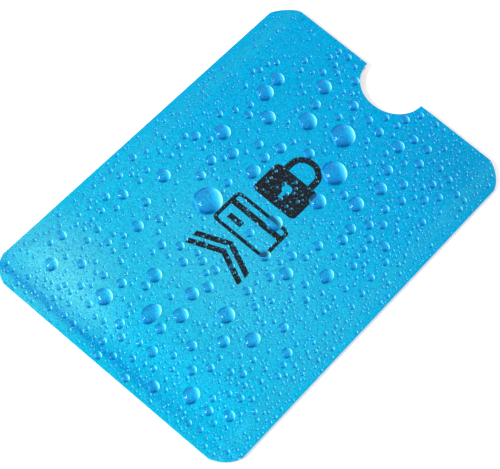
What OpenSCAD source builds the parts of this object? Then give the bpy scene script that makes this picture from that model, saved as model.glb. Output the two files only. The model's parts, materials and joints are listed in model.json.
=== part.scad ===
// Shielded card sleeve: a laminated film tube that takes one bank card.
// One sheet is folded round along both long edges, lapped and glued inside the right edge, and
// heat-sealed across one end. The other end is the mouth, with a thumb notch through both panels.
// X runs across the sleeve, Y towards the mouth and Z out of the front panel. The origin is the
// middle of the back face. All sizes are in millimetres.

/* [Card] */
// Width of the card that the pocket takes
card_w = 53.98; // [50:0.01:90]
// Length of the card
card_l = 85.6; // [60:0.1:120]
// Thickness of the card
card_t = 0.76; // [0.4:0.01:1.5]
// Room above the card inside the pocket
card_clear = 0.14; // [0.05:0.01:0.6]

/* [Sleeve] */
// Room on each side of the card, out to the long edge
side_room = 3.51; // [2.6:0.01:6]
// Width of the slope that lifts the front panel along each long edge
side_ramp = 3.6; // [2:0.1:8]
// Length of the slope that lifts the front panel from the sealed end
end_ramp = 2.4; // [1.6:0.1:6]

/* [Die-cut outline] */
// Radius of the corners
corner_r = 7; // [4:0.1:10]
// How far a corner's circle stands past both edges, which leaves a slight angle where it meets them
corner_overcut = 0.3; // [0:0.05:0.8]
// Radius of the thumb notch
notch_r = 7.3; // [5:0.1:12]

/* [Laminate] */
// Thickness of the blue metallic film outside
film_t = 0.1; // [0.05:0.01:0.2]
// Thickness of the aluminium foil in the middle
foil_t = 0.05; // [0.02:0.01:0.1]
// Thickness of the liner inside
liner_t = 0.1; // [0.05:0.01:0.2]
// Gap that stays open inside each folded edge
crease_gap = 0.1; // [0.04:0.01:0.3]

/* [Lap seam] */
// Width of the flap inside the right edge, measured from that edge
flap_w = 8; // [5:0.1:14]
// Distance that the flap stops short of the sealed band
flap_stop = 1.5; // [1.2:0.1:5]
// Size of the flap's cut-off corner at the sealed end
flap_chamfer = 3; // [1:0.1:4.5]
// Distance from the right edge to the cut edge of the back panel
back_inset = 0.4; // [0.3:0.05:1.5]
// Thickness of the glue line
glue_t = 0.05; // [0.02:0.01:0.15]
// Distance that the glue stays back from the flap's edge and from the fold
glue_inset = 0.8; // [0.4:0.1:1.5]

/* [Sealed end] */
// Width of the heat-sealed band
seal_w = 3; // [2:0.1:6]
// Thickness of the fused strip
seal_t = 0.05; // [0.02:0.01:0.15]

/* [Print] */
// Thickness of the ink
ink_t = 0.02; // [0.01:0.005:0.05]
// Distance from the sleeve's middle to the middle of the print, towards the mouth
print_y = 2; // [-10:0.5:10]
// Width of the print
print_w = 13.6; // [10:0.1:20]
// Width of the print's lines
stroke = 1.4; // [0.8:0.1:2]
// Gap between the three signs of the print
sign_gap = 2.4; // [1:0.1:4]
// Distance between the two arrow stripes
arrow_pitch = 2.3; // [2.1:0.1:4]
// Height of one arrow stripe
arrow_h = 4.6; // [3:0.1:7]
// Height of the padlock's body
lock_h = 8.4; // [6:0.1:12]
// Width of the padlock's body
lock_w = 10.8; // [9:0.1:14]
// Outer radius of the padlock's shackle
shackle_r = 3.9; // [3:0.1:4.5]
// Height of the shackle's straight legs
shackle_leg = 1.6; // [0.5:0.1:4]
// Radius of the padlock's keyhole
keyhole_r = 1.1; // [0.6:0.1:1.6]
// Height of the card sign
card_sign_h = 8.6; // [7:0.1:12]
// Width of the card sign's frame line
frame_line = 0.8; // [0.5:0.1:1]
// Radius of the signs' corners
sign_r = 1.2; // [0.5:0.1:2]

/* [Hidden] */
$fn = 96;

// Facets along each slope of the front panel
ramp_steps = 12;
// Length by which a cutter stands past what it cuts
past = 1;

sleeve_w = card_w + 2 * side_room;
sleeve_l = seal_w + end_ramp + card_l;
wall = film_t + foil_t + liner_t;

// A fold can't close further than the fused strip beside it
fold_gap = max(crease_gap, seal_t);
// Each fold turns round a line this far in from the long edge, and fold_x is where that line lies.
// The panels stay flat for the same distance again beside it.
fold_r = wall + fold_gap / 2;
fold_x = sleeve_w / 2 - fold_r;
ramp_x = fold_x - fold_r;

// Heights of the liner's underside on the front panel: at the two folds, on the sealed band and
// over the card, which rests on the flap
flap_z = wall + glue_t;
low_left = wall + fold_gap;
low_right = flap_z + wall + fold_gap;
low_end = wall + seal_t;
high = flap_z + wall + card_t + card_clear;

seal_y = -sleeve_l / 2 + seal_w;
ramp_end_y = seal_y + end_ramp;
flap_y = seal_y + flap_stop;
face_z = high + wall;

// Layers, as distances outwards from the liner's inner face
liner_span = [0, liner_t];
foil_span = [liner_t, liner_t + foil_t];
film_span = [liner_t + foil_t, wall];

// Smooth rise from 0 to 1
function rise(t) = (1 - cos(180 * t)) / 2;

// Height of a slope between two levels, a share t of the way along it
function slope(from, to, t) = from + (to - from) * rise(t);

// Place along the end slope at which the front panel has reached a level
function end_slope_y(level) =
    seal_y + end_ramp * acos(min(1, 1 - 2 * (level - low_end) / (high - low_end))) / 180;

// Outline that the die cuts through all layers: a sheet with round corners and a thumb notch
module die_outline() {
    cx = sleeve_w / 2 + corner_overcut - corner_r;
    cy = sleeve_l / 2 + corner_overcut - corner_r;
    difference() {
        square([sleeve_w, sleeve_l], center = true);
        for (i = [0, 1], j = [0, 1])
            mirror([i, 0])
                mirror([0, j])
                    translate([cx, cy])
                        difference() {
                            square(corner_r + past);
                            circle(corner_r);
                        }
        translate([0, sleeve_l / 2])
            circle(notch_r);
    }
}

module die_cut() {
    intersection() {
        translate([0, 0, -past])
            linear_extrude(face_z + 2 * past)
                die_outline();
        children();
    }
}

// Everything below the front panel at a distance d out from the liner's inner face. The lower of
// two surfaces counts: one slopes to the long edges, the other to the sealed end. With side at
// 0 it ends at the folds, and a side above 0 lets it stand past them.
module below_front(d, side) {
    steps = [for (i = [0 : ramp_steps]) i / ramp_steps];
    across = concat(
        [[-fold_x - side, low_left + d]],
        [for (t = steps) [-ramp_x + side_ramp * t, slope(low_left, high, t) + d]],
        [for (t = steps) [ramp_x - side_ramp * (1 - t), slope(high, low_right, t) + d]],
        [[fold_x + side, low_right + d], [fold_x + side, -past - side], [-fold_x - side, -past - side]]
    );
    along = concat(
        [[-sleeve_l / 2 - past - side, low_end + d]],
        [for (t = steps) [seal_y + end_ramp * t, slope(low_end, high, t) + d]],
        [
            [ramp_end_y, high + d + past],
            [sleeve_l / 2 + past + side, high + d + past],
            [sleeve_l / 2 + past + side, -past - side],
            [-sleeve_l / 2 - past - side, -past - side]
        ]
    );
    intersection() {
        translate([0, sleeve_l / 2 + past + side, 0])
            rotate([90, 0, 0])
                linear_extrude(sleeve_l + 2 * (past + side))
                    polygon(across);
        translate([-sleeve_w / 2 - past, 0, 0])
            rotate([90, 0, 90])
                linear_extrude(sleeve_w + 2 * past)
                    polygon(along);
    }
}

module front_panel(layer) {
    difference() {
        below_front(layer[1], 0);
        below_front(layer[0], past / 2);
    }
}

// Flat part of one layer, whose laminate lies on base_z with its liner upwards
module flat_part(layer, base_z, outline) {
    translate([0, 0, base_z + wall - layer[1]])
        linear_extrude(layer[1] - layer[0])
            polygon(outline);
}

module back_panel(layer) {
    right = sleeve_w / 2 - back_inset;
    top = sleeve_l / 2 + past;
    flat_part(layer, 0, [[-fold_x, -top], [right, -top], [right, top], [-fold_x, top]]);
}

// Inner edge of the flap, and the same line moved in by an inset for the glue
function flap_outline(inset) = let (
    left = sleeve_w / 2 - flap_w + inset,
    right = fold_x - inset,
    bottom = flap_y + inset,
    top = sleeve_l / 2 + past
) [
    [left, bottom + flap_chamfer],
    [left + flap_chamfer, bottom],
    [right, bottom],
    [right, top],
    [left, top]
];

module flap(layer) {
    flat_part(layer, flap_z, flap_outline(0));
}

// Section of a fold with its two flat stretches, out to a distance d from the liner's inner face
module fold_section(d, length) {
    r = fold_gap / 2 + d;
    circle(r);
    translate([0, -r])
        square([length, 2 * r]);
}

// One layer round a fold. It starts where the end slope has risen to the fold's level.
module fold(layer, centre_z, level) {
    start = end_slope_y(level);
    translate([-fold_x, sleeve_l / 2 + past, centre_z])
        rotate([90, 0, 0])
            linear_extrude(sleeve_l / 2 + past - start)
                difference() {
                    fold_section(layer[1], fold_r);
                    fold_section(layer[0], fold_r + past);
                }
}

// One layer of the laminate, from the back panel round the left fold, over the front and round the
// right fold to the flap
module folded_layer(layer) {
    die_cut() {
        back_panel(layer);
        fold(layer, fold_r, low_left);
        front_panel(layer);
        mirror([1, 0, 0])
            fold(layer, flap_z + fold_r, low_right);
        flap(layer);
    }
}

module outer_film() {
    color([0.08, 0.66, 0.90])
        folded_layer(film_span);
}

module foil_shield() {
    color([0.80, 0.81, 0.83])
        folded_layer(foil_span);
}

module inner_liner() {
    color([0.90, 0.90, 0.88])
        folded_layer(liner_span);
}

// Glue line between the back panel and the flap
module seam_glue() {
    color([0.86, 0.82, 0.66])
        die_cut()
            translate([0, 0, wall])
                linear_extrude(glue_t)
                    polygon(flap_outline(glue_inset));
}

// Fused strip between the two panels at the sealed end
module end_seal() {
    color([0.62, 0.66, 0.70])
        die_cut()
            translate([-fold_x, -sleeve_l / 2, wall])
                cube([2 * fold_x, seal_w, seal_t]);
}

module rounded_box(size, r) {
    square([size[0] - 2 * r, size[1]], center = true);
    square([size[0], size[1] - 2 * r], center = true);
    for (sx = [-1, 1], sy = [-1, 1])
        translate([sx * (size[0] / 2 - r), sy * (size[1] / 2 - r)])
            circle(r);
}

// Stripe bent to a wide arrow head that points to the mouth
module arrow_stripe() {
    half = print_w / 2;
    polygon([
        [-half, 0], [-half, stroke], [0, arrow_h],
        [half, stroke], [half, 0], [0, arrow_h - stroke]
    ]);
}

module padlock() {
    keyhole_y = lock_h / 2 + keyhole_r / 2;
    slot_l = 2.4 * keyhole_r;
    difference() {
        translate([0, lock_h / 2])
            rounded_box([lock_w, lock_h], sign_r);
        translate([0, keyhole_y])
            circle(keyhole_r);
        translate([-keyhole_r / 3, keyhole_y - slot_l])
            square([keyhole_r / 1.5, slot_l]);
    }
    translate([0, lock_h + shackle_leg]) {
        difference() {
            circle(shackle_r);
            circle(shackle_r - stroke);
            translate([-shackle_r, -2 * shackle_r])
                square(2 * shackle_r);
        }
        for (side = [-1, 1])
            translate([side * (shackle_r - stroke / 2) - stroke / 2, -shackle_leg])
                square([stroke, shackle_leg]);
    }
}

// Card outline with a stripe across it and a short bar below the stripe
module card_sign() {
    translate([0, card_sign_h / 2])
        difference() {
            rounded_box([print_w, card_sign_h], sign_r);
            rounded_box([print_w - 2 * frame_line, card_sign_h - 2 * frame_line], sign_r / 2);
        }
    translate([-print_w / 2, card_sign_h - 2.4 * stroke])
        square([print_w, stroke]);
    translate([-print_w / 2 + frame_line + stroke, frame_line + stroke])
        square([print_w / 4, stroke]);
}

// Generic print: two arrow stripes, a card and, nearest to the mouth, a padlock
module front_print() {
    card_sign_y = arrow_pitch + arrow_h + sign_gap / 2;
    lock_y = card_sign_y + card_sign_h + sign_gap;
    print_h = lock_y + lock_h + shackle_leg + shackle_r;
    color([0.05, 0.06, 0.08])
        translate([0, print_y - print_h / 2, face_z])
            linear_extrude(ink_t) {
                for (i = [0, 1])
                    translate([0, i * arrow_pitch])
                        arrow_stripe();
                translate([0, card_sign_y])
                    card_sign();
                translate([0, lock_y])
                    padlock();
            }
}

outer_film();
foil_shield();
inner_liner();
seam_glue();
end_seal();
front_print();
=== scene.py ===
# %% [markdown]
# # A shielded card sleeve with water on it
# The object is a thin sleeve that takes one bank card. It is a single web of blue metallised film,
# aluminium foil and an inner liner, folded round along both long edges and sealed across one end.
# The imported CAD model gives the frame: every piece below stands where its solid stands.

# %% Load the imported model
import json
import math
import random

import bmesh
import bpy
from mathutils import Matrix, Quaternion, Vector, noise

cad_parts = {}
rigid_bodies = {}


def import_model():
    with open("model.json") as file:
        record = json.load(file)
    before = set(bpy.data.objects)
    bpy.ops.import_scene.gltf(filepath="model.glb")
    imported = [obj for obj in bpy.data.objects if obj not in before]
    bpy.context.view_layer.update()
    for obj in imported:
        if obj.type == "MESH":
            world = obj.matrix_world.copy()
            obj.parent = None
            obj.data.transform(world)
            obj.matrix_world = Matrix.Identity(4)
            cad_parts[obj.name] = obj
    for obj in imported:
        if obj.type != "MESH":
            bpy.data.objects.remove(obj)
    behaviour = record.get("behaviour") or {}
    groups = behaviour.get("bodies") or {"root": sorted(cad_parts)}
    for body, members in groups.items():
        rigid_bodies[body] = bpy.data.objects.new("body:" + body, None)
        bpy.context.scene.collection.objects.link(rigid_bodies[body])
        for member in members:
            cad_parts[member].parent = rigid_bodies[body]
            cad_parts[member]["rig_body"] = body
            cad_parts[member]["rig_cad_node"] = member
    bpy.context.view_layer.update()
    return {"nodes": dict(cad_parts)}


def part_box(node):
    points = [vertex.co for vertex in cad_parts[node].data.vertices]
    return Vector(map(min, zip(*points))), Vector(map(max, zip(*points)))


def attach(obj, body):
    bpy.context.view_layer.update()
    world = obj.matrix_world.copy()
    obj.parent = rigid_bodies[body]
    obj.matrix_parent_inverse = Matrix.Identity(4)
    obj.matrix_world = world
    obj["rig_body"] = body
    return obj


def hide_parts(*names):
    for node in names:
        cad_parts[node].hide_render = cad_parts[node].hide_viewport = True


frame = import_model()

MM = 0.001
nodes = frame["nodes"]
print("CAD nodes:", sorted(nodes))

# %% [markdown]
# ## The camera
# The photograph looks down on the sleeve from almost 60 degrees up, from a long way off for its size,
# so a long lens is right. The camera is placed as a photographer would say it: a point to aim at, a
# distance, a turn round the table, a height angle and a roll of the camera about its own axis.

# %% Camera
AIM = Vector((1.10, -3.54, 0.9)) * MM
CAMERA_DISTANCE = 378.4 * MM
CAMERA_TURN = math.radians(23.02)
CAMERA_HEIGHT = math.radians(59.44)
CAMERA_ROLL = math.radians(19.26)
LENS = 137.66


def direction(turn, height):
    """Unit vector towards a point that far round from -Y and that far up."""
    flat = math.cos(height)
    return Vector((math.sin(turn) * flat, -math.cos(turn) * flat, math.sin(height)))


towards_camera = direction(CAMERA_TURN, CAMERA_HEIGHT)
bpy.ops.object.camera_add(location=AIM + CAMERA_DISTANCE * towards_camera)
camera = bpy.context.object
camera.name = "camera"
level = (-towards_camera).to_track_quat("-Z", "Y")
camera.rotation_mode = "QUATERNION"
camera.rotation_quaternion = level @ Quaternion((0, 0, 1), CAMERA_ROLL)
camera.data.sensor_fit = "HORIZONTAL"
camera.data.sensor_width = 36
camera.data.lens = LENS
camera.data.clip_start = 0.01
bpy.context.scene.camera = camera
bpy.context.scene.view_settings.view_transform = "Standard"
print("camera stands at", [round(c / MM, 1) for c in camera.location], "mm")

# %% [markdown]
# ## Tools for the bench
# An operator acts on whatever is selected. These helpers make a clean start, pick edges, faces or
# points by where they lie, and turn a modifier into mesh.

# %% Selection and modifier helpers


def deselect_all():
    bpy.ops.object.select_all(action="DESELECT")


def edit(obj, mode="VERT"):
    """Opens one object for editing, with nothing selected."""
    deselect_all()
    obj.select_set(True)
    bpy.context.view_layer.objects.active = obj
    bpy.ops.object.mode_set(mode="EDIT")
    bpy.ops.mesh.select_mode(type=mode)
    bpy.ops.mesh.select_all(action="DESELECT")


def close():
    bpy.ops.object.mode_set(mode="OBJECT")


def pick(obj, kind, test):
    """Selects the verts, edges or faces whose middle, in millimetres, passes a test."""
    bpy.ops.mesh.select_mode(type=kind[:-1].upper())
    bpy.ops.mesh.select_all(action="DESELECT")
    mesh = bmesh.from_edit_mesh(obj.data)
    count = 0
    for item in getattr(mesh, kind):
        if kind == "verts":
            middle = item.co
        elif kind == "edges":
            middle = (item.verts[0].co + item.verts[1].co) / 2
        else:
            middle = item.calc_center_median()
        item.select = bool(test(middle / MM))
        count += item.select
    mesh.select_flush_mode()
    bmesh.update_edit_mesh(obj.data)
    return count


def apply_modifier(obj, kind, **settings):
    """Adds a modifier, sets it and applies it."""
    deselect_all()
    obj.select_set(True)
    bpy.context.view_layer.objects.active = obj
    modifier = obj.modifiers.new(kind.lower(), kind)
    for name, value in settings.items():
        setattr(modifier, name, value)
    bpy.ops.object.modifier_apply(modifier=modifier.name)


def smooth(obj, degrees):
    """Smooth shading that keeps edges sharper than an angle."""
    deselect_all()
    obj.select_set(True)
    bpy.context.view_layer.objects.active = obj
    bpy.ops.object.shade_smooth_by_angle(angle=math.radians(degrees))


def report(obj):
    """Prints how many faces an object has, and its size."""
    size = [round((hi - lo) / MM, 2) for lo, hi in zip(*corners(obj))]
    print(f"{obj.name}: {len(obj.data.polygons)} faces, {size} mm")


def corners(obj):
    """Lowest and highest corner of an object's mesh."""
    points = [v.co for v in obj.data.vertices]
    return [[end(p[i] for p in points) for i in range(3)] for end in (min, max)]


# %% [markdown]
# ## The form of the sleeve
# All three layers follow one surface, so it is written once. Across the sleeve the front panel lies
# flat beside each fold and then rises over a short slope to the height that a card needs. From the
# sealed end it rises from the flat fused band. Where the two slopes meet, a pressed film rounds the
# corner instead of creasing, so the lower of the two levels is taken softly.

# %% Named sizes of the sleeve, in millimetres
# The die-cut outline
HALF_W, HALF_L = 30.5, 45.5
CORNER_X, CORNER_Y, CORNER_R = 23.8, 38.8, 7.0
NOTCH_R = 7.3
# The laminate and its layers, then the folds: where they begin and the levels they turn round
WALL, FILM_T, FOIL_T, LINER_T = 0.25, 0.10, 0.05, 0.10
FOLD_X = 30.2
FOLD_END_Y = -41.3
LEFT_FOLD_Z, RIGHT_FOLD_Z = 0.30, 0.60
BACK_EDGE_X = 30.1
FLAP_X, FLAP_Y, FLAP_CHAMFER = 22.5, -41.0, 3.0
# Levels of the front panel's inner face, and the slopes between them
LOW_LEFT, LOW_RIGHT, LOW_END, HIGH = 0.35, 0.65, 0.30, 1.45
RAMP_X, SIDE_RAMP = 29.9, 5.0
SEAL_Y, END_RAMP, FOOT_L = -42.5, 12.0, 1.8
# The valley that the seal's hot bar leaves, and how it fades to the right
GROOVE_Y, GROOVE_HALF, GROOVE_DEPTH = -42.9, 1.1, 0.045
GROOVE_ENDS, GROOVE_FADE, FADE_FROM, FADE_REACH = 5, 0.75, 2, 18
# The flat end lies a little higher over the lap's flap. Near both folds the panel comes up from the
# seal within the foot's length, to just over its low level there
LAP_LIFT, LAP_FROM, LAP_REACH = 0.12, 18, 8
LEFT_FROM, LEFT_REACH, EDGE_STEP = 25, 4, 0.05


def rise(t):
    """Smooth rise from 0 to 1."""
    t = min(1.0, max(0.0, t))
    return (1 - math.cos(math.pi * t)) / 2


def soft_min(a, b, width=0.05):
    """The lower of two levels, with the corner between them rounded."""
    share = max(width - abs(a - b), 0) / width
    return min(a, b) - share * share * width / 4


# %% [markdown]
# A real sleeve isn't a drawn form: the film keeps faint waves from the roller and shallow dents.
# Each one is a soft round hollow or swell, a few hundredths of a millimetre high. All of them fade
# out towards the folds and the seal, which hold the film straight.

# %% Waves and dents of the front panel
# x, y, reach across, reach along and height, in millimetres
SWELLS = [
    (-14, -33, 9, 7, 0.07),
    (9, -34, 10, 5, -0.05),
    (22, -22, 6, 14, 0.05),
    (-22, -8, 6, 16, -0.05),
    (-4, -16, 12, 9, 0.04),
    (13, 4, 9, 13, -0.05),
    (-14, 14, 8, 12, 0.05),
    (4, 27, 13, 7, -0.06),
    (-20, 35, 7, 6, 0.06),
    (21, 34, 7, 7, 0.05),
]
ROLLER_WAVE, WAVE_X, WAVE_Y, WAVE_SLICE = 0.02, 11, 14, 3.7
HELD_BY_FOLD, HELD_BY_SEAL = 7, 6


def waves(x, y):
    """Height of the waves and dents over the drawn form."""
    height = sum(h * math.exp(-((x - cx) / rx) ** 2 - ((y - cy) / ry) ** 2)
                 for cx, cy, rx, ry, h in SWELLS)
    height += ROLLER_WAVE * noise.noise(Vector((x / WAVE_X, y / WAVE_Y, WAVE_SLICE)))
    held = rise((HALF_W - abs(x)) / HELD_BY_FOLD) * rise((y - SEAL_Y) / HELD_BY_SEAL)
    return height * held


def underside(x, y):
    """Level of the inner face of the front panel."""
    left = LOW_LEFT + (HIGH - LOW_LEFT) * rise((x + RAMP_X) / SIDE_RAMP)
    right = LOW_RIGHT + (HIGH - LOW_RIGHT) * rise((RAMP_X - x) / SIDE_RAMP)
    over_lap = rise((x - LAP_FROM) / LAP_REACH)
    flat = LOW_END + LAP_LIFT * over_lap
    end = flat + (HIGH - flat) * rise((y - SEAL_Y) / END_RAMP)
    foot = rise((y - SEAL_Y) / FOOT_L)
    for low, near in ((LOW_LEFT, rise((-x - LEFT_FROM) / LEFT_REACH)), (LOW_RIGHT, over_lap)):
        end += max(flat + (low + EDGE_STEP - flat) * foot - end, 0) * near
    groove = GROOVE_DEPTH * math.exp(-((y - GROOVE_Y) / GROOVE_HALF) ** 2)
    groove *= rise((HALF_W - abs(x)) / GROOVE_ENDS)
    groove *= 1 - GROOVE_FADE * rise((x - FADE_FROM) / FADE_REACH)
    return soft_min(min(left, right), end) - groove + waves(x, y)


def front(x, y, outwards=WALL):
    """Level of a layer's face on the front panel, a distance outwards from its inner face."""
    step = 0.05
    slope_x = (underside(x + step, y) - underside(x - step, y)) / (2 * step)
    slope_y = (underside(x, y + step) - underside(x, y - step)) / (2 * step)
    return underside(x, y) + outwards * math.sqrt(1 + slope_x**2 + slope_y**2)


def inside_outline(x, y, margin):
    """Whether a point lies inside the die-cut outline by a margin."""
    if abs(x) > HALF_W - margin or abs(y) > HALF_L - margin:
        return False
    if abs(x) > CORNER_X and abs(y) > CORNER_Y:
        if math.hypot(abs(x) - CORNER_X, abs(y) - CORNER_Y) > CORNER_R - margin:
            return False
    return math.hypot(x, y - HALF_L) > NOTCH_R + margin


print("film over the card at", round(front(0, 0), 3), "mm, on the seal at", round(front(0, -44), 3))

# %% [markdown]
# ## The folded web
# A sleeve is made from a flat web that is folded round a former, so it is modelled in that order. A
# strip of the back panel is laid down first. Its edge is extruded to the left fold, spun round the
# fold, extruded over the front, spun round the right fold, and extruded back as the lap's flap. The
# slopes are then pressed in, the web gets its thickness, and a die cuts the corners and the notch.
# The same steps make the film, the foil and the liner, each a little further in.

# %% Folding one layer
FIRST_STRIP = 4
FINE_Y = -40.5
SEAL_CUTS, FOOT_CUTS, PANEL_CUTS = 8, 7, 85
BACK_COLUMNS, SLOPE_COLUMNS, FRONT_COLUMNS, FLAP_COLUMNS = 12, 12, 53, 5
FOLD_STEPS = 10
FINEST, WELD = 1e-8, 1e-7


def extrude_to(x_mm, z_mm, at):
    """Extrudes the selected row of edges from one place of the section to another."""
    bpy.ops.mesh.extrude_region_move(
        TRANSFORM_OT_translate={"value": ((x_mm - at[0]) * MM, 0, (z_mm - at[1]) * MM)})
    return x_mm, z_mm


def spin_fold(x_mm, z_mm):
    """Spins the selected row half a turn round a fold's centre line."""
    centre = (x_mm * MM, 0, z_mm * MM)
    bpy.ops.mesh.spin(steps=FOLD_STEPS, angle=-math.pi, center=centre, axis=(0, 1, 0))


def columns(start, end, count):
    """Evenly spaced places from start, which is left out, to end."""
    return [start + (end - start) * (i + 1) / count for i in range(count)]


def fold_web(name, outwards, thickness):
    """One folded layer, whose outer face lies a distance outwards from the laminate's inner face."""
    back_z = WALL - outwards
    first_x = BACK_EDGE_X - FIRST_STRIP
    deselect_all()
    bpy.ops.mesh.primitive_plane_add(
        size=1, location=((BACK_EDGE_X + first_x) / 2 * MM, (SEAL_Y - HALF_L) / 2 * MM, back_z * MM))
    web = bpy.context.object
    web.name = web.data.name = name
    web.scale = ((BACK_EDGE_X - first_x) * MM, (SEAL_Y + HALF_L) * MM, 1)
    bpy.ops.object.transform_apply(location=True, rotation=True, scale=True)
    edit(web)
    # Along the sleeve: the fused band, the slope from it, and the rest up to the mouth
    pick(web, "edges", lambda p: abs(p.y - SEAL_Y) < 0.01)
    for y_from, y_to in ((SEAL_Y, FINE_Y), (FINE_Y, HALF_L)):
        step = (0, (y_to - y_from) * MM, 0)
        bpy.ops.mesh.extrude_region_move(TRANSFORM_OT_translate={"value": step})
    for y_from, y_to, cuts in (
            (-HALF_L, SEAL_Y, SEAL_CUTS), (SEAL_Y, FINE_Y, FOOT_CUTS), (FINE_Y, HALF_L, PANEL_CUTS)):
        middle = (y_from + y_to) / 2
        pick(web, "edges", lambda p: abs(p.y - middle) < 0.01)
        bpy.ops.mesh.subdivide(number_cuts=cuts)
    # Round the section
    pick(web, "edges", lambda p: abs(p.x - first_x) < 0.01)
    at = (first_x, back_z)
    for x in columns(first_x, -FOLD_X, BACK_COLUMNS):
        at = extrude_to(x, back_z, at)
    spin_fold(-FOLD_X, LEFT_FOLD_Z)
    before_front = len(web_mesh(web).verts)
    at = (-FOLD_X, 2 * LEFT_FOLD_Z - back_z)
    plateau_x = RAMP_X - SIDE_RAMP
    for x in (columns(-FOLD_X, -RAMP_X, 1) + columns(-RAMP_X, -plateau_x, SLOPE_COLUMNS)
              + columns(-plateau_x, plateau_x, FRONT_COLUMNS)
              + columns(plateau_x, RAMP_X, SLOPE_COLUMNS) + columns(RAMP_X, FOLD_X, 1)):
        at = extrude_to(x, LOW_RIGHT + outwards, at)
    after_front = len(web_mesh(web).verts)
    spin_fold(FOLD_X, RIGHT_FOLD_Z)
    at = (FOLD_X, 2 * RIGHT_FOLD_Z - LOW_RIGHT - outwards)
    flap_z = at[1]
    for x in columns(FOLD_X, FLAP_X, FLAP_COLUMNS):
        at = extrude_to(x, flap_z, at)
    # Press the front panel over the card and down to the seal
    mesh = web_mesh(web)
    mesh.verts.ensure_lookup_table()
    for vert in mesh.verts[before_front:after_front]:
        x, y = vert.co.x / MM, vert.co.y / MM
        vert.co.z = front(x, y, outwards) * MM
    for vert in mesh.verts[:before_front]:
        x, y = vert.co.x / MM, vert.co.y / MM
        if abs(x + FOLD_X) < 1e-3 and vert.co.z / MM > LEFT_FOLD_Z:
            vert.co.z = front(x, y, outwards) * MM
    bmesh.update_edit_mesh(web.data)
    # The flap stops short of the seal with its corner cut off
    pick(web, "faces", lambda p: p.x > FLAP_X and abs(p.z - flap_z) < 1e-3)
    bpy.ops.mesh.bisect(plane_co=(0, FLAP_Y * MM, 0), plane_no=(0, -1, 0), clear_outer=True,
                        threshold=FINEST)
    pick(web, "faces", lambda p: p.x > FLAP_X and abs(p.z - flap_z) < 1e-3)
    bpy.ops.mesh.bisect(plane_co=(FLAP_X * MM, (FLAP_Y + FLAP_CHAMFER) * MM, 0), plane_no=(-1, -1, 0),
                        clear_outer=True, threshold=FINEST)
    # Both folds end where the corner's cut takes them
    pick(web, "faces", lambda p: abs(p.x) > FOLD_X and p.y < FOLD_END_Y)
    bpy.ops.mesh.delete(type="FACE")
    bpy.ops.mesh.select_all(action="SELECT")
    bpy.ops.mesh.remove_doubles(threshold=WELD)
    close()
    # Outer side out: the back panel looks down
    lowest = min(web.data.polygons, key=lambda f: f.center.z)
    if lowest.normal.z > 0:
        edit(web)
        bpy.ops.mesh.select_all(action="SELECT")
        bpy.ops.mesh.flip_normals()
        close()
    apply_modifier(web, "SOLIDIFY", thickness=thickness * MM, offset=-1)
    return web


def web_mesh(web):
    return bmesh.from_edit_mesh(web.data)


# %% [markdown]
# The die is a steel rule bent to the sleeve's outline. Its corners are arcs whose circles reach a
# little past the straight edges, which leaves the slight angle where arc and edge meet. A box with
# bevelled corners, slightly larger than the sleeve, cuts those corners, and a cylinder cuts the
# thumb notch through both panels at once.

# %% The die
DIE_Z, DIE_DEPTH = 1, 6
CORNER_STEPS, NOTCH_SIDES = 24, 120


def make_corner_die():
    deselect_all()
    bpy.ops.mesh.primitive_cube_add(size=1, location=(0, 0, DIE_Z * MM))
    die = bpy.context.object
    die.scale = (2 * (CORNER_X + CORNER_R) * MM, 2 * (CORNER_Y + CORNER_R) * MM, DIE_DEPTH * MM)
    bpy.ops.object.transform_apply(location=True, rotation=True, scale=True)
    edit(die)
    # Of the box's edges only the four upright ones have their middle out at a corner
    pick(die, "edges", lambda p: abs(p.x) > CORNER_X and abs(p.y) > CORNER_Y)
    bpy.ops.mesh.bevel(offset=CORNER_R * MM, segments=CORNER_STEPS, affect="EDGES")
    close()
    return die


def make_notch_die():
    deselect_all()
    bpy.ops.mesh.primitive_cylinder_add(
        vertices=NOTCH_SIDES, radius=NOTCH_R * MM, depth=DIE_DEPTH * MM,
        location=(0, HALF_L * MM, DIE_Z * MM))
    die = bpy.context.object
    bpy.ops.object.transform_apply(location=True, rotation=True, scale=True)
    return die


def die_cut(web):
    """Cuts the corners and the notch, and shades the folds smooth but the cut edges sharp."""
    for die, operation in ((make_corner_die(), "INTERSECT"), (make_notch_die(), "DIFFERENCE")):
        apply_modifier(web, "BOOLEAN", object=die, operation=operation, solver="EXACT")
        bpy.data.objects.remove(die)
    smooth(web, degrees=32)
    report(web)


outer_film = fold_web("film_web", WALL, FILM_T)
die_cut(outer_film)
foil_shield = fold_web("foil_web", FOIL_T + LINER_T, FOIL_T)
die_cut(foil_shield)
inner_liner = fold_web("liner_web", LINER_T, LINER_T)
die_cut(inner_liner)

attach(outer_film, "root")
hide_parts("outer_film")
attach(foil_shield, "root")
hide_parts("foil_shield")
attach(inner_liner, "root")
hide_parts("inner_liner")

# %% [markdown]
# ## The print
# The ink lies on the film and follows its waves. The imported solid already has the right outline, so
# a copy of it is merged, cut into small fields and laid on the film.

# %% Print
# Level of the film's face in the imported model, and the width of the fields
FACE_Z = 1.70
FIELD = 1.1

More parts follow.
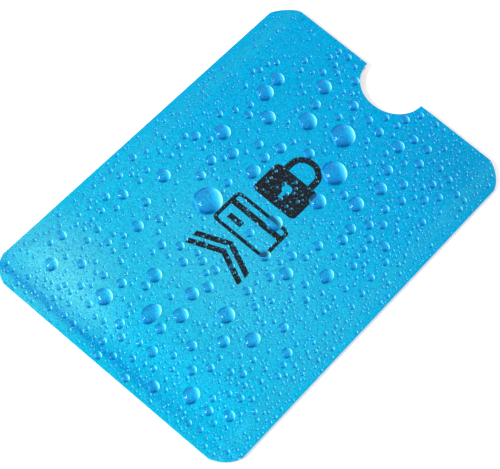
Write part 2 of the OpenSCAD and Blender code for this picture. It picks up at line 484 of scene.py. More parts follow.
ink = nodes["front_print"].copy()
ink.data = nodes["front_print"].data.copy()
ink.name = ink.data.name = "ink_print"
ink.parent = None
bpy.context.scene.collection.objects.link(ink)
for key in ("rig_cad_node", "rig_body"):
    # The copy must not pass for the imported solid
    if key in ink:
        del ink[key]
edit(ink)
bpy.ops.mesh.select_all(action="SELECT")
bpy.ops.mesh.remove_doubles(threshold=1e-6)
bpy.ops.mesh.dissolve_limited(angle_limit=math.radians(1))
low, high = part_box("front_print")
for axis, normal in ((0, (1, 0, 0)), (1, (0, 1, 0))):
    cut = low[axis] / MM + FIELD
    while cut < high[axis] / MM:
        bpy.ops.mesh.select_all(action="SELECT")
        place = [0, 0, 0]
        place[axis] = cut * MM
        bpy.ops.mesh.bisect(plane_co=place, plane_no=normal, threshold=FINEST)
        cut += FIELD
close()
for vert in ink.data.vertices:
    x, y = vert.co.x / MM, vert.co.y / MM
    vert.co.z += (front(x, y) - FACE_Z) * MM
smooth(ink, degrees=30)
report(ink)
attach(ink, "root")
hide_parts("front_print")

# %% [markdown]
# ## Water drops
# Water beads on the film. Each drop is a cap of a ball, a little flattened by its weight, that meets
# the film at a steep angle. One cap is modelled for each size class from a ball that is cut with a
# plane. The large ones are placed one by one, as the photograph shows them, and the fine ones are
# strewn by a seeded draw that keeps them off each other. Every point of a drop is set on the film's
# own level under it, so a drop on a slope leans with the film.

# %% The caps
# How deep a drop's floor lies in the film
SINK = 0.03


def make_cap(segments, rings, cut):
    """A ball that is cut off at a level, moved and scaled so that its rim has radius 1 at level 0."""
    deselect_all()
    bpy.ops.mesh.primitive_uv_sphere_add(segments=segments, ring_count=rings, radius=1)
    cap = bpy.context.object
    edit(cap)
    bpy.ops.mesh.select_all(action="SELECT")
    bpy.ops.mesh.bisect(plane_co=(0, 0, cut), plane_no=(0, 0, 1), clear_inner=True, use_fill=True,
                        threshold=1e-6)
    close()
    rim = math.sqrt(1 - cut * cut)
    points = [(v.co.x / rim, v.co.y / rim, (v.co.z - cut) / rim) for v in cap.data.vertices]
    faces = [tuple(f.vertices) for f in cap.data.polygons]
    bpy.data.objects.remove(cap)
    return points, faces


def lay_drops(name, cap, drops, height):
    """All drops of one class in one mesh: a drop is (x, y, radius across, radius along, turn)."""
    cap_points, cap_faces = cap
    points, faces = [], []
    for x, y, across, along, turn in drops:
        first = len(points)
        cos, sin = math.cos(turn), math.sin(turn)
        tall = height * min(across, along)
        ground = front(x, y)
        slope_x = (front(x + across, y) - front(x - across, y)) / (2 * across)
        slope_y = (front(x, y + along) - front(x, y - along)) / (2 * along)
        for px, py, pz in cap_points:
            wide, deep = px * across, py * along
            off_x, off_y = wide * cos - deep * sin, wide * sin + deep * cos
            level = ground + slope_x * off_x + slope_y * off_y + (pz * tall if pz > 1e-4 else -SINK)
            points.append(((x + off_x) * MM, (y + off_y) * MM, level * MM))
        faces += [tuple(first + i for i in face) for face in cap_faces]
    mesh = bpy.data.meshes.new(name)
    mesh.from_pydata(points, [], faces)
    mesh.update()
    obj = bpy.data.objects.new(name, mesh)
    bpy.context.scene.collection.objects.link(obj)
    smooth(obj, degrees=60)
    report(obj)
    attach(obj, "root")
    return obj


# %% Large and middle drops, placed one by one
# The places were read as if the sleeve were a flat sheet at this level
OUTLINE_Z = 1.0
# x, y, radius across and radius along the sleeve, in millimetres
LARGE = [
    (0, 27.9, 2.6, 2.8), (-9.8, -3.8, 2.9, 3.2), (4.3, 19.6, 2.7, 2.8), (-7.4, 25.3, 2.0, 2.1),
    (-10.3, 34.4, 1.7, 1.8), (9.8, 34.2, 1.4, 1.5), (-18.1, 24.3, 1.8, 2.0), (-18.4, 28.8, 1.5, 1.6),
    (-13.8, 20.1, 1.6, 1.7), (12.0, 17.1, 1.6, 1.8), (13.3, 23.6, 1.4, 1.5), (6.0, 12.0, 1.75, 1.85),
    (-18.1, 10.6, 1.7, 1.8), (-7.7, 7.9, 1.4, 1.8), (-13.4, 8.2, 1.2, 1.45), (-7.3, 16.3, 1.2, 1.3),
    (11.6, 28.1, 1.25, 1.3), (-3.1, 35.3, 1.2, 1.2), (4.7, 34.1, 1.1, 1.15), (15.4, 34.1, 1.05, 1.1),
    (-8.8, 29.7, 1.05, 1.3), (17.9, 0, 1.35, 1.85), (-19.9, -5.8, 1.45, 1.6), (11.8, -5.3, 1.4, 1.5),
    (2.9, 1.8, 1.7, 1.8), (12.4, 4.1, 1.05, 1.1), (15.1, 8.7, 1.1, 1.2), (14.7, 11.8, 1.1, 1.3),
    (22.1, 13.6, 1.2, 1.05), (18.8, 17.3, 0.95, 1.05), (16.8, 15.2, 1.0, 1.1), (-15.5, 3.8, 1.1, 1.2),
    (-14.6, -0.4, 1.05, 1.15), (-9.7, 2.3, 0.85, 1.05), (-21.4, 5.9, 1.0, 1.15), (10.1, -1.4, 1.0, 1.1),
    (-22.7, -14.8, 1.1, 1.15), (-24.8, -17.6, 0.9, 0.95), (-15.9, -18.1, 1.2, 1.3),
    (-18.4, -12.8, 1.0, 1.05), (2.7, -18.5, 1.1, 1.2), (1.4, -21.8, 1.4, 1.5), (9.2, -20.6, 1.7, 1.85),
    (16.2, -21.1, 1.45, 1.85), (18.9, -14.8, 1.0, 1.1), (22.8, -18.5, 1.05, 1.15),
    (-6.4, -23.9, 1.5, 1.6), (2.9, -26.9, 1.5, 1.7), (12.4, -25.3, 1.25, 1.4), (-1.4, -30.6, 1.65, 2.5),
    (1.9, -31.7, 1.05, 1.25), (8.6, -30.3, 1.05, 1.2), (-9.8, -29.7, 1.0, 1.1), (-10.3, -34.3, 1.75, 1.8),
    (-18.1, -32.0, 0.95, 1.05), (-22.2, -36.3, 1.35, 1.5), (-25.1, -30.1, 1.15, 1.0),
    (4.0, -36.6, 1.1, 1.2), (9.0, -41.9, 1.2, 1.2), (23.2, -36.4, 1.2, 1.15), (15.3, -38.3, 1.6, 1.9),
    (-6.6, 40.4, 1.0, 1.1), (-2.3, 19.5, 1.15, 1.25), (-11.0, 13.7, 0.9, 1.1), (-8.2, 12.1, 1.05, 1.25),
    (6.8, 40.6, 1.0, 1.0), (11.0, 38.0, 1.1, 1.0), (14.6, 38.1, 0.9, 1.1), (20.3, 32.2, 0.95, 0.95),
    (16.1, 27.8, 1.0, 1.1), (21.4, 28.0, 0.85, 1.15), (18.1, 24.5, 0.95, 1.0), (16.9, 20.5, 1.0, 1.0),
    (8.9, 17.0, 0.9, 1.0), (6.3, -5.2, 1.1, 1.3), (0.9, -3.4, 0.8, 1.05), (10.0, -8.2, 0.9, 1.0),
    (8.7, -13.7, 0.95, 1.0), (1.3, -14.6, 0.95, 0.9), (-1.8, -14.9, 0.9, 1.0), (-7.1, -15.5, 0.9, 1.0),
    (-4.3, -17.7, 0.95, 1.0), (-9.8, -17.9, 0.9, 0.95), (-6.1, -26.9, 0.95, 1.0),
    (-4.3, -36.5, 0.95, 1.1), (12.0, -34.2, 1.0, 1.05), (14.1, -31.3, 0.9, 0.9), (19.7, -38.4, 1.0, 1.0),
    (19.4, -27.9, 0.85, 0.9), (-2.9, -44.4, 0.9, 0.85), (4.0, -44.3, 0.9, 0.85), (-27.1, -7.1, 0.85, 0.95),
    (18.8, 12.7, 0.9, 1.0), (12.1, -15.2, 0.8, 0.85), (1.4, 34.9, 0.9, 1.0), (3.6, 38.0, 0.8, 0.8),
]
# Middle drops are almost round: x, y, radius
MIDDLE = [
    (-13.7, 43.7, 0.75), (-11.4, 44.0, 0.85), (-8.9, 43.1, 0.65), (-14.2, 41.2, 0.7), (-12.2, 40.4, 0.8),
    (-10.6, 39.2, 0.75), (-12.8, 37.1, 0.8), (-8.8, 38.0, 0.6), (-5.2, 37.4, 0.65), (-17.3, 36.6, 0.7),
    (-6.8, 36.5, 0.6), (-16.5, 34.1, 0.7), (-14.3, 35.5, 0.55), (-1.2, 32.6, 0.65), (-3.5, 30.9, 0.85),
    (-21.2, 31.9, 0.75), (-22.3, 30.2, 0.65), (-22.5, 27.9, 0.7), (-23.4, 26.5, 0.65), (-12.5, 30.2, 0.6),
    (-22.1, 22.6, 0.65), (-18.4, 19.8, 0.8), (-17.0, 17.7, 0.9), (-10.8, 25.7, 0.55), (-10.3, 22.2, 0.6),
    (-6.5, 19.3, 0.7), (-4.1, 21.5, 0.55), (-0.6, 22.1, 0.55), (-4.2, 27.4, 0.6), (-19.7, 16.6, 0.7),
    (8.5, 43.8, 0.8), (12.1, 44.4, 0.7), (6.4, 38.2, 0.8), (17.0, 40.9, 0.65), (7.2, 35.6, 0.6),
    (17.1, 36.8, 0.55), (19.2, 36.4, 0.75), (22.1, 35.6, 0.85), (25.4, 34.0, 0.8), (27.4, 34.0, 0.7),
    (21.8, 33.1, 0.6), (13.1, 31.9, 0.75), (16.4, 31.8, 0.6), (28.0, 31.8, 0.65), (8.8, 31.0, 0.8),
    (23.2, 30.7, 0.9), (4.1, 30.6, 0.75), (19.2, 30.2, 0.75), (19.5, 27.0, 0.7), (7.6, 26.6, 0.8),
    (6.0, 24.2, 0.75), (10.4, 23.8, 0.75), (24.2, 23.6, 0.85), (21.2, 22.7, 0.6), (20.1, 20.4, 0.55),
    (23.9, 19.7, 0.55), (21.6, 18.2, 0.7), (-21.4, 13.5, 0.8), (-11.8, 10.4, 0.6), (-18.9, 7.4, 0.75),
    (-14.0, 6.0, 0.7), (-18.6, 4.9, 0.7), (-23.0, 4.4, 0.75), (-22.4, 1.6, 0.7), (-25.8, 0.9, 0.6),
    (-22.0, -1.1, 0.65), (-24.1, -2.2, 0.55), (-26.1, -4.1, 0.6), (-23.1, -7.2, 0.7),
    (-22.5, -10.2, 0.7), (-24.6, -10.1, 0.6), (-26.1, -12.1, 0.75), (-14.0, -13.9, 0.85),
    (-28.2, -12.6, 0.6), (-28.0, -15.2, 0.6), (-3.7, -14.2, 0.7), (24.4, 10.9, 0.8), (19.4, 10.2, 0.8),
    (19.3, 8.0, 0.7), (21.6, 7.2, 0.65), (24.4, 6.1, 0.85), (12.5, 7.0, 0.55), (20.3, 5.6, 0.85),
    (16.2, 4.5, 0.75), (25.3, 2.0, 0.75), (22.3, 0.4, 0.7), (12.2, 0.2, 0.75), (7.7, 0.2, 0.55),
    (21.8, -2.8, 0.6), (19.5, -3.6, 0.65), (16.0, -4.5, 0.85), (9.3, -4.2, 0.65), (18.2, -7.0, 0.8),
    (14.4, -6.8, 0.65), (22.3, -6.6, 0.65), (16.1, -9.2, 0.6), (13.5, -12.0, 0.7), (3.1, -11.6, 0.6),
    (8.8, -11.0, 0.55), (12.0, -12.7, 0.55), (-21.6, -18.0, 0.7), (-28.2, -17.6, 0.55),
    (-12.3, -16.2, 0.65), (-15.8, -15.2, 0.55), (-7.3, -18.8, 0.55), (-23.3, -20.5, 0.7),
    (-10.1, -20.4, 0.65), (-16.5, -21.6, 0.7), (-18.1, -22.8, 0.55), (-14.7, -23.0, 0.65),
    (-23.3, -23.3, 0.55), (-21.0, -24.2, 0.75), (-17.6, -24.9, 0.8), (-1.1, -25.2, 0.7),
    (-15.7, -25.6, 0.6), (-24.7, -26.3, 0.55), (-22.9, -26.0, 0.55), (-13.1, -26.3, 0.65),
    (-20.8, -27.4, 0.75), (-16.5, -29.8, 0.55), (-13.4, -30.8, 0.85), (-25.5, -32.9, 0.65),
    (-21.4, -33.0, 0.65), (-4.6, -34.0, 0.6), (-15.0, -35.7, 0.75), (-17.3, -37.7, 0.6),
    (-11.3, -37.6, 0.8), (-15.6, -38.2, 0.55), (-6.9, -38.3, 0.65), (-8.7, -38.7, 0.6),
    (-2.2, -38.5, 0.85), (-17.8, -38.9, 0.65), (-14.1, -40.2, 0.6), (-23.5, -41.4, 0.6),
    (-17.0, -41.4, 0.65), (-4.2, -41.6, 0.85), (-13.0, -42.6, 0.6), (-16.1, -43.5, 0.6),
    (-10.7, -42.7, 0.6), (-0.7, -42.5, 0.75), (0.4, -16.3, 0.7), (15.4, -16.8, 0.6), (23.9, -21.0, 0.65),
    (24.6, -23.5, 0.7), (19.0, -24.2, 0.65), (21.8, -24.1, 0.6), (7.7, -25.2, 0.6), (16.6, -25.3, 0.6),
    (22.9, -26.7, 0.6), (14.1, -28.4, 0.6), (17.5, -29.2, 0.75), (21.2, -29.5, 0.65), (24.0, -30.7, 0.6),
    (22.4, -32.1, 0.8), (26.1, -32.3, 0.6), (20.2, -32.9, 0.65), (7.4, -34.3, 0.75), (18.6, -35.9, 0.75),
    (1.1, -36.9, 0.75), (9.1, -36.7, 0.6), (6.5, -39.1, 0.7), (4.6, -39.6, 0.6), (2.3, -40.3, 0.7),
    (22.1, -39.6, 0.6), (21.1, -42.4, 0.6), (18.6, -42.9, 0.7),
]


def on_front(x, y):
    """Where a drop stands that was read on the flat sheet: nearer, where the front is higher."""
    reach = (front(x, y) - OUTLINE_Z) / math.tan(CAMERA_HEIGHT)
    return x + reach * math.sin(CAMERA_TURN), y - reach * math.cos(CAMERA_TURN)


chance = random.Random(7)
large = [(*on_front(x, y), across, along, 0.0) for x, y, across, along in LARGE]
middle = [(*on_front(x, y), r * chance.uniform(0.94, 1.02), r * chance.uniform(1.0, 1.1), 0.0)
          for x, y, r in MIDDLE]
print(len(large), "large and", len(middle), "middle drops")

# %% [markdown]
# Smaller drops are strewn at random. A grid of bins makes the test against their neighbours quick:
# a new drop only looks at the bins round it. Each keeps a small gap to every drop already laid,
# the large ones too, since a growing drop drinks its neighbours.

# %% Strewing the small drops
BIN, BIN_REACH = 2.0, 2
TRIES = 6
SMALL_BIAS = 2.2
CLEAR_OF_EDGE = 0.15
bins = {}


def enter(drop):
    """Notes a drop in the bin it stands in."""
    x, y = drop[0], drop[1]
    bins.setdefault((math.floor(x / BIN), math.floor(y / BIN)), []).append(drop)


def is_free(x, y, r, gap):
    """Whether a drop of radius r leaves a gap to every drop that is already laid."""
    column, row = math.floor(x / BIN), math.floor(y / BIN)
    for i in range(column - BIN_REACH, column + BIN_REACH + 1):
        for j in range(row - BIN_REACH, row + BIN_REACH + 1):
            for other in bins.get((i, j), ()):
                if math.hypot(x - other[0], y - other[1]) < r + max(other[2], other[3]) + gap:
                    return False
    return True


def strew(count, least, most, gap, share):
    """Lays up to count drops of radius least to most. share(x, y) is the chance to keep a drop."""
    laid = []
    for _ in range(count * TRIES):
        if len(laid) == count:
            break
        x, y = chance.uniform(-HALF_W, HALF_W), chance.uniform(-HALF_L, HALF_L)
        r = least + (most - least) * chance.random() ** SMALL_BIAS
        if chance.random() > share(x, y):
            continue
        if not inside_outline(x, y, r + CLEAR_OF_EDGE) or not is_free(x, y, r, gap):
            continue
        drop = (x, y, r * chance.uniform(0.92, 1.0), r * chance.uniform(1.0, 1.12),
                chance.uniform(-0.4, 0.4))
        enter(drop)
        laid.append(drop)
    return laid


for drop in large + middle:
    enter(drop)


SHARE, MORE_RIGHT, MORE_AT_SEAL, LESS_LEFT = 0.36, 0.60, 0.42, 0.22


def small_share(x, y):
    """Small drops are dense towards the right edge and the sealed end, thin at the mouth's left."""
    share = SHARE + MORE_RIGHT * rise(x / 22) + MORE_AT_SEAL * rise((-24 - y) / 14)
    return min(1.0, share - LESS_LEFT * rise((-x - 2) / 14) * rise((y - 10) / 20))


small = strew(1100, least=0.28, most=0.55, gap=0.10, share=small_share)
fine = strew(2600, least=0.12, most=0.27, gap=0.06, share=small_share)
print(len(small), "small and", len(fine), "fine drops")

# %% Laying all drops
# Piece, its drops, segments and rings of the ball, level of its cut, height against half its width
DROP_CLASSES = (
    ("drops_large", large, 48, 32, 0.12, 0.80),
    ("drops_middle", middle, 20, 14, 0.12, 0.76),
    ("drops_small", small, 12, 8, 0.15, 0.72),
    ("drops_fine", fine, 8, 6, 0.20, 0.66),
)
all_drops = [lay_drops(name, make_cap(segments, rings, cut), drops, height)
             for name, drops, segments, rings, cut, height in DROP_CLASSES]

# %% [markdown]
# ## Finishes
# Colours are written as on a screen and turned to linear light by one function. One helper adds a
# node, sets its values and joins its inputs, so a material reads as a list of its layers.

# %% Colour and node helpers


def colour(code):
    """Linear RGBA of an sRGB hex colour."""
    parts = [int(code[i:i + 2], 16) / 255 for i in (1, 3, 5)]
    return (*[p / 12.92 if p <= 0.04045 else ((p + 0.055) / 1.055) ** 2.4 for p in parts], 1)


def new_material(name):
    material = bpy.data.materials.new(name)
    material.use_nodes = True
    material.node_tree.nodes.clear()
    return material


def add(material, kind, settings=None, **inputs):
    """Adds a node. An input takes a value, or an output socket to join.

    An input is named by its label with _ for a space, or by i and its number where labels repeat.
    """
    tree = material.node_tree
    node = tree.nodes.new("ShaderNode" + kind)
    for key, value in (settings or {}).items():
        setattr(node, key, value)
    for key, value in inputs.items():
        by_number = key[0] == "i" and key[1:].isdigit()
        socket = node.inputs[int(key[1:]) if by_number else key.replace("_", " ")]
        if isinstance(value, bpy.types.NodeSocket):
            tree.links.new(value, socket)
        else:
            socket.default_value = value
    return node


def ramp(material, factor, stops):
    """A colour ramp with its stops as (place, hex colour)."""
    node = add(material, "ValToRGB", Fac=factor)
    elements = node.color_ramp.elements
    while len(elements) < len(stops):
        elements.new(1)
    for element, (place, code) in zip(elements, stops):
        element.position = place
        element.color = colour(code)
    return node


def per_mm(size):
    """Scale of a pattern on Object coordinates whose features are this many millimetres apart."""
    return 1 / (size * MM)


def finish_with(material, shader):
    add(material, "OutputMaterial", Surface=shader.outputs[0])
    print("material", material.name, "has", len(material.node_tree.nodes), "nodes")


def dress(obj, material):
    obj.data.materials.clear()
    obj.data.materials.append(material)


# %% [markdown]
# ** Blue metallised film.** Polyester film with a vacuum-laid aluminium skin under a clear blue
# lacquer, embossed with a fine satin grain. The eye sees a deep clear blue, a soft wide sheen without
# any mirror image, and a fine sparkle from the grain and from mist too fine to model. Much of the
# sheen and shade is painted into the colour: the lighter turquoise patches and side stripes are
# painted sheen, and the deeper mouth corner, the band above the seal and the line in its groove are
# painted shade. The colour is also a little lighter towards the sealed end and deeper towards the
# mouth. The mist's bright middles are painted highlights and its dark rims are painted shade. A real
# grain is too fine to show from where the camera stands, so it is drawn as coarse as it needs, at
# 0.3 mm. The mist's beads are drawn coarser than real for the same reason: one to each field of 0.6 mm.

# %% Blue film
film = new_material("metallised_polyester_film")
place = add(film, "TexCoord").outputs["Object"]
spot = add(film, "SeparateXYZ", Vector=place)


def band(coordinate, middle, half, amount):
    """A stripe across the film: amount in its middle, 0 from half a width away."""
    off = add(film, "Math", {"operation": "SUBTRACT"}, i0=coordinate, i1=middle * MM)
    far = add(film, "Math", {"operation": "ABSOLUTE"}, i0=off.outputs[0])
    return add(film, "MapRange", {"interpolation_type": "SMOOTHSTEP"}, Value=far.outputs[0],
               From_Min=0.0, From_Max=half * MM, To_Min=amount, To_Max=0.0).outputs[0]


def patch(x, y, reach_x, reach_y, amount):
    """A soft round area: amount in its middle, 0 from its reach on."""
    moved = add(film, "Mapping", Vector=place, Location=(-x / reach_x, -y / reach_y, 0),
                Scale=(per_mm(reach_x), per_mm(reach_y), 0))
    ball = add(film, "TexGradient", {"gradient_type": "SPHERICAL"}, Vector=moved.outputs[0])
    return add(film, "MapRange", {"interpolation_type": "SMOOTHSTEP"}, Value=ball.outputs["Fac"],
               To_Max=amount).outputs[0]


def lay(under, amount, code):
    """Mixes a colour over what is there."""
    return add(film, "Mix", {"data_type": "RGBA"}, i0=amount, i6=under, i7=colour(code)).outputs[2]


side = add(film, "Math", {"operation": "ABSOLUTE"}, i0=spot.outputs["X"]).outputs[0]
drift = add(film, "TexNoise", Vector=place, Scale=per_mm(26), Detail=1.0, Roughness=0.4)
along = add(film, "MapRange", Value=spot.outputs["Y"], From_Min=-HALF_L * MM, From_Max=HALF_L * MM)
uneven = add(film, "Math", {"operation": "MULTIPLY_ADD"}, i0=drift.outputs["Fac"], i1=0.5,
             i2=along.outputs[0])
tone = add(film, "Math", {"operation": "SUBTRACT", "use_clamp": True}, i0=uneven.outputs[0], i1=0.25)
# The lacquer's random drift, lighter towards the sealed end and deeper towards the mouth, with
# painted sheen and painted shade laid over it
lacquer_and_painted_light = ramp(film, tone.outputs[0], [(0.0, "#0EC6F6"), (0.5, "#14BEF5"), (1.0, "#06B1F2")]).outputs[0]
# Painted sheen: lighter turquoise at the sealed end's left corner, in the middle and above the groove
lacquer_and_painted_light = lay(lacquer_and_painted_light, patch(-21, -36, 20, 16, 0.40), "#7CDEE8")
lacquer_and_painted_light = lay(lacquer_and_painted_light, patch(2, -14, 34, 28, 0.36), "#50D4EE")
lacquer_and_painted_light = lay(lacquer_and_painted_light, patch(-13, -38.5, 17, 6, 0.26), "#70E4F6")
# Painted shade: deeper at the mouth's right corner
lacquer_and_painted_light = lay(lacquer_and_painted_light, patch(24, 40, 22, 16, 0.35), "#0E90CC")
# Painted sheen on the slopes along both folds
lacquer_and_painted_light = lay(lacquer_and_painted_light, band(side, 27.2, 2.8, 0.25), "#3CD0F8")
# Painted shade on the end slope above the seal
lacquer_and_painted_light = lay(lacquer_and_painted_light, band(spot.outputs["Y"], -40.8, 2.4, 0.25), "#04A0E4")
# Painted shade: a dark line in the seal's groove, fading towards the right
groove_shade_band = band(spot.outputs["Y"], GROOVE_Y + 0.2, 1.5, 0.65)
fade = add(film, "MapRange", Value=spot.outputs["X"], From_Min=FADE_FROM * MM,
           From_Max=(FADE_FROM + FADE_REACH) * MM, To_Min=1.0, To_Max=0.3)
painted_groove_shade = add(film, "Math", {"operation": "MULTIPLY"}, i0=groove_shade_band, i1=fade.outputs[0])
lacquer_and_painted_light = lay(lacquer_and_painted_light, painted_groove_shade.outputs[0], "#008CE0")
# The satin grain
grain = add(film, "TexNoise", Vector=place, Scale=per_mm(0.30), Detail=3.0, Roughness=0.6)
grain_tone = ramp(film, grain.outputs["Fac"], [(0.32, "#C2C2BC"), (0.68, "#FEFEF5")])
lacquer_and_painted_light = add(film, "Mix", {"data_type": "RGBA", "blend_type": "MULTIPLY"}, i0=1.0, i6=lacquer_and_painted_light,
           i7=grain_tone.outputs[0]).outputs[2]
# Mist: beads with a painted dark rim of shade and a painted highlight in the middle, on the faces
# that look up only
mist = add(film, "TexVoronoi", Vector=place, Scale=per_mm(0.60))
mist_size = add(film, "SeparateColor", Color=mist.outputs["Color"])
bead = add(film, "MapRange", Value=mist_size.outputs["Red"], To_Min=0.08, To_Max=0.40)
reach = add(film, "Math", {"operation": "DIVIDE"}, i0=mist.outputs["Distance"], i1=bead.outputs[0])
rim = add(film, "MapRange", Value=reach.outputs[0], From_Min=0.6, From_Max=1.0, To_Min=0.0,
          To_Max=0.85)
inside = add(film, "Math", {"operation": "LESS_THAN"}, i0=reach.outputs[0], i1=1.0)
upwards = add(film, "SeparateXYZ", Vector=add(film, "NewGeometry").outputs["Normal"])
wet = add(film, "Math", {"operation": "MULTIPLY", "use_clamp": True}, i0=upwards.outputs["Z"],
          i1=inside.outputs[0])
painted_rim_shade = add(film, "Math", {"operation": "MULTIPLY"}, i0=rim.outputs[0], i1=wet.outputs[0])
highlight_falloff = add(film, "MapRange", Value=reach.outputs[0], From_Min=0.0, From_Max=0.6, To_Min=0.9,
            To_Max=0.0)
painted_highlight = add(film, "Math", {"operation": "MULTIPLY"}, i0=highlight_falloff.outputs[0], i1=wet.outputs[0])
# Painted shade at each bead's rim, then a painted highlight in its middle
lacquer_and_painted_light = lay(lacquer_and_painted_light, painted_rim_shade.outputs[0], "#035A9C")
lacquer_and_painted_light = lay(lacquer_and_painted_light, painted_highlight.outputs[0], "#8CF0FF")
rough = add(film, "MapRange", Value=grain.outputs["Fac"], From_Min=0.3, From_Max=0.7, To_Min=0.34,
            To_Max=0.48)
grain_bump = add(film, "Bump", Height=grain.outputs["Fac"], Distance=0.02 * MM, Strength=0.5)
shader = add(film, "BsdfPrincipled", Base_Color=lacquer_and_painted_light, Metallic=0.9, Roughness=rough.outputs[0],
             Specular_Tint=colour("#3CB8FF"), Normal=grain_bump.outputs[0])
finish_with(film, shader)
dress(outer_film, film)

# %% [markdown]
# **Aluminium foil.** Rolled thin, so its cut edge is a bright silver line with a faint rolling grain
# along the web.

# %% Aluminium foil
foil = new_material("rolled_aluminium_foil")
place = add(foil, "TexCoord")
stretch = add(foil, "Mapping", Vector=place.outputs["Object"], Scale=(1.0, 0.08, 1.0))
lines = add(foil, "TexNoise", Vector=stretch.outputs[0], Scale=per_mm(0.25), Detail=2.0)
silver = ramp(foil, lines.outputs["Fac"], [(0.3, "#C9CCD0"), (0.7, "#E6E8EA")])
foil_bump = add(foil, "Bump", Height=lines.outputs["Fac"], Distance=0.01 * MM, Strength=0.3)
shader = add(foil, "BsdfPrincipled", Base_Color=silver.outputs[0], Metallic=1.0, Roughness=0.3,
             Normal=foil_bump.outputs[0])
finish_with(foil, shader)
dress(foil_shield, foil)

# %% [markdown]
# **Coated paper liner.** A light off-white paper with a thin smooth coat that a card slides on. It is
# matt, with the cloudy look of paper held to the light and fine fibres.

# %% Liner
liner = new_material("coated_paper_liner")
place = add(liner, "TexCoord")
cloud = add(liner, "TexNoise", Vector=place.outputs["Object"], Scale=per_mm(2.5), Detail=3.0)
fibre = add(liner, "TexNoise", Vector=place.outputs["Object"], Scale=per_mm(0.3), Detail=4.0)
paper = ramp(liner, cloud.outputs["Fac"], [(0.3, "#E4E3DE"), (0.7, "#EFEEEA")])
liner_bump = add(liner, "Bump", Height=fibre.outputs["Fac"], Distance=0.02 * MM, Strength=0.4)
shader = add(liner, "BsdfPrincipled", Base_Color=paper.outputs[0], Roughness=0.6,
             Normal=liner_bump.outputs[0])
finish_with(liner, shader)
dress(inner_liner, liner)

# %% [markdown]
# **Glue and seal.** The lap is held by a line of hot-melt glue, pale yellow and slightly wet looking.
# The sealed end is polyethylene that was melted and pressed, grey and milky with a fine press mark.

# %% Glue line and fused strip
glue = new_material("hot_melt_glue")
place = add(glue, "TexCoord")
clouds = add(glue, "TexNoise", Vector=place.outputs["Object"], Scale=per_mm(1.5), Detail=2.0)
amber = ramp(glue, clouds.outputs["Fac"], [(0.3, "#DCCB98"), (0.7, "#E9DDB6")])
glue_rough = add(glue, "MapRange", Value=clouds.outputs["Fac"], To_Min=0.2, To_Max=0.4)
shader = add(glue, "BsdfPrincipled", Base_Color=amber.outputs[0], Roughness=glue_rough.outputs[0])
finish_with(glue, shader)
dress(nodes["seam_glue"], glue)

seal = new_material("fused_polyethylene_strip")
place = add(seal, "TexCoord")
press = add(seal, "TexWave", {"wave_type": "BANDS", "bands_direction": "DIAGONAL"},
            Vector=place.outputs["Object"], Scale=per_mm(0.6), Distortion=0.4)
milky = ramp(seal, press.outputs["Fac"], [(0.2, "#9FA9B2"), (0.8, "#B6BFC6")])
seal_bump = add(seal, "Bump", Height=press.outputs["Fac"], Distance=0.01 * MM, Strength=0.3)
shader = add(seal, "BsdfPrincipled", Base_Color=milky.outputs[0], Roughness=0.35,
             Normal=seal_bump.outputs[0])
finish_with(seal, shader)
dress(nodes["end_seal"], seal)

# %% [markdown]
# **Black ink.** Screen ink on film dries to a satin black. It is a thin coat with pinholes, where the
# blue film shows through as fine specks.

# %% Ink
ink_black = new_material("black_screen_ink")
place = add(ink_black, "TexCoord")
specks = add(ink_black, "TexNoise", Vector=place.outputs["Object"], Scale=per_mm(0.34), Detail=2.0)
pinholes = ramp(ink_black, specks.outputs["Fac"], [
    (0.0, "#0A0C10"), (0.60, "#0C1016"), (0.70, "#2A6A8C")])
coat = add(ink_black, "TexNoise", Vector=place.outputs["Object"], Scale=per_mm(0.3), Detail=3.0)
ink_bump = add(ink_black, "Bump", Height=coat.outputs["Fac"], Distance=0.015 * MM, Strength=0.5)
shader = add(ink_black, "BsdfPrincipled", Base_Color=pinholes.outputs[0], Roughness=0.42,
             Specular_IOR_Level=0.12, Normal=ink_bump.outputs[0])
finish_with(ink_black, shader)
dress(ink, ink_black)

# %% [markdown]
# ** Water.** Smooth and clear, at water's refractive index. The light a drop gathers into a bright
# turquoise crescent on its far side is painted on as a glow, and the deeper blue of the film seen
# through it is painted shade. Both are set by the way each spot of the drop faces: its colour is
# painted deeper towards the two flanks, and it glows a little where it faces away from the lamp. The
# steep foot is a painted dark line of shade, where the water bends the view away from the film.

# %% Water
# Level directions for the painted glow and shade: away from the key lamp, and square to that
FAR_SIDE = Vector((0.45, 0.89, 0))
FLANK = Vector((-0.89, 0.45, 0))

water = new_material("clear_water_painted_glow")
facing = add(water, "NewGeometry").outputs["Normal"]
far = add(water, "VectorMath", {"operation": "DOT_PRODUCT"}, i0=facing, i1=FAR_SIDE)
across = add(water, "VectorMath", {"operation": "DOT_PRODUCT"}, i0=facing, i1=FLANK)
flank = add(water, "Math", {"operation": "ABSOLUTE"}, i0=across.outputs["Value"])
# Painted shade: the colour deepens towards the two flanks
deep = ramp(water, flank.outputs[0], [
    (0.0, "#B8F8FF"), (0.40, "#A0ECFF"), (0.66, "#40ACE0"), (0.85, "#0C6094")])
upright = add(water, "SeparateXYZ", Vector=facing)
# Painted shade: a dark line along the steep foot
foot = add(water, "MapRange", Value=upright.outputs["Z"], From_Min=0.12, From_Max=0.21, To_Min=0.6,
           To_Max=0.0)
body = add(water, "Mix", {"data_type": "RGBA"}, i0=foot.outputs[0], i6=deep.outputs[0],
           i7=colour("#04406E"))
turned = add(water, "MapRange", Value=far.outputs["Value"], From_Min=-1.0, From_Max=1.0)
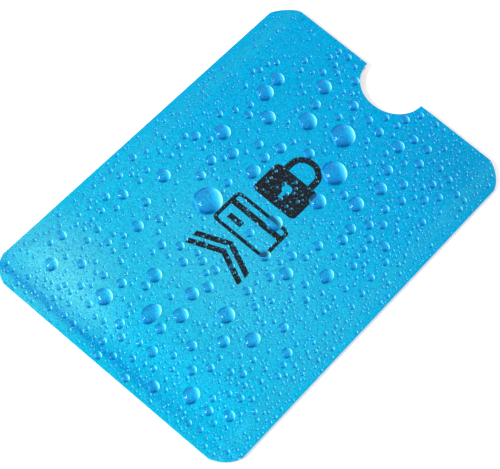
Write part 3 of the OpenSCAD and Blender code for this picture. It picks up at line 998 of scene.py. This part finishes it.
# Painted light: a glowing crescent on the side away from the key lamp, a pale line on the near side and
# painted dark edges
painted_crescent_glow = ramp(water, turned.outputs[0], [
    (0.03, "#084468"), (0.08, "#2C90B4"), (0.15, "#064264"), (0.50, "#044468"), (0.62, "#0C7698"),
    (0.75, "#38B0C6"), (0.87, "#A4F2F2"), (0.935, "#D0FFFF"), (0.98, "#2080A8")])
painted_glow_and_foot_shade = add(water, "Mix", {"data_type": "RGBA"}, i0=foot.outputs[0], i6=painted_crescent_glow.outputs[0],
            i7=colour("#02283C"))
# The emission is painted light: the water glows though it is no lamp
shader = add(water, "BsdfPrincipled", Base_Color=body.outputs[2], Roughness=0.08, IOR=1.333,
             Transmission_Weight=1.0, Specular_Tint=colour("#B4E4FF"), Emission_Color=painted_glow_and_foot_shade.outputs[2],
             Emission_Strength=1.2)
finish_with(water, shader)
for drops in all_drops:
    dress(drops, water)

# %% [markdown]
# ## The set
# The sleeve lies on a white sweep in a bright studio. The floor and the world show themselves white
# to the camera, and the floor still takes the sleeve's soft shadow. A square softbox stands low at
# the front left: it is what the drops mirror as a small pale window. A wide, weak one hangs high
# behind the sleeve and gives the film part of its sheen; the rest of the sheen is painted into the
# film's colour.

# %% Floor
FLOOR_SIZE, FLOOR_Z = 6, -0.02
FLOOR_GLOW, WORLD_LIGHT = 0.32, 0.62
deselect_all()
bpy.ops.mesh.primitive_plane_add(size=FLOOR_SIZE, location=(0, 0, FLOOR_Z * MM))
floor = bpy.context.object
floor.name = "floor"
white = new_material("white_sweep")
seen = add(white, "LightPath")
behind = add(white, "Math", {"operation": "MAXIMUM"}, i0=seen.outputs["Is Camera Ray"],
             i1=seen.outputs["Is Glossy Ray"])
shown = add(white, "Math", {"operation": "MAXIMUM"}, i0=behind.outputs[0],
            i1=seen.outputs["Is Transmission Ray"])
lift = add(white, "Math", {"operation": "MULTIPLY"}, i0=shown.outputs[0], i1=FLOOR_GLOW)
matt = add(white, "BsdfDiffuse", Color=colour("#F2F0F1"))
glow = add(white, "Emission", Color=colour("#FFFFFF"), Strength=lift.outputs[0])
both = add(white, "AddShader", i0=matt.outputs[0], i1=glow.outputs[0])
finish_with(white, both)
dress(floor, white)

# %% World
# It gives less light than it shows, so the background is white and the lamps still shape the drops
world = bpy.data.worlds.new("studio")
bpy.context.scene.world = world
world.use_nodes = True
world.node_tree.nodes.clear()
seen = add(world, "LightPath")
behind = add(world, "Math", {"operation": "MAXIMUM"}, i0=seen.outputs["Is Camera Ray"],
             i1=seen.outputs["Is Transmission Ray"])
shown = add(world, "Math", {"operation": "MAXIMUM"}, i0=behind.outputs[0],
            i1=seen.outputs["Is Glossy Ray"])
amount = add(world, "MapRange", Value=shown.outputs[0], To_Min=WORLD_LIGHT, To_Max=1.0)
sky = add(world, "Background", Color=colour("#FFFFFF"), Strength=amount.outputs[0])
add(world, "OutputWorld", Surface=sky.outputs[0])
print("world", world.name, "has", len(world.node_tree.nodes), "nodes")

# %% Lamps


def softbox(name, turn, height, distance, size, radiance):
    """A square lamp aimed at the sleeve, whose face shines at a radiance where 1 is white."""
    towards = direction(math.radians(turn), math.radians(height))
    bpy.ops.object.light_add(type="AREA", location=towards * distance)
    lamp = bpy.context.object
    lamp.name = name
    lamp.rotation_euler = towards.to_track_quat("Z", "Y").to_euler()
    lamp.data.shape = "SQUARE"
    lamp.data.size = size
    lamp.data.energy = radiance * math.pi * size * size
    print(name, "shines with", round(lamp.data.energy, 2), "W")


deselect_all()
softbox("key_softbox", turn=-28, height=35, distance=0.45, size=0.20, radiance=25.5)
softbox("overhead_softbox", turn=204, height=62, distance=0.70, size=0.90, radiance=0.17)
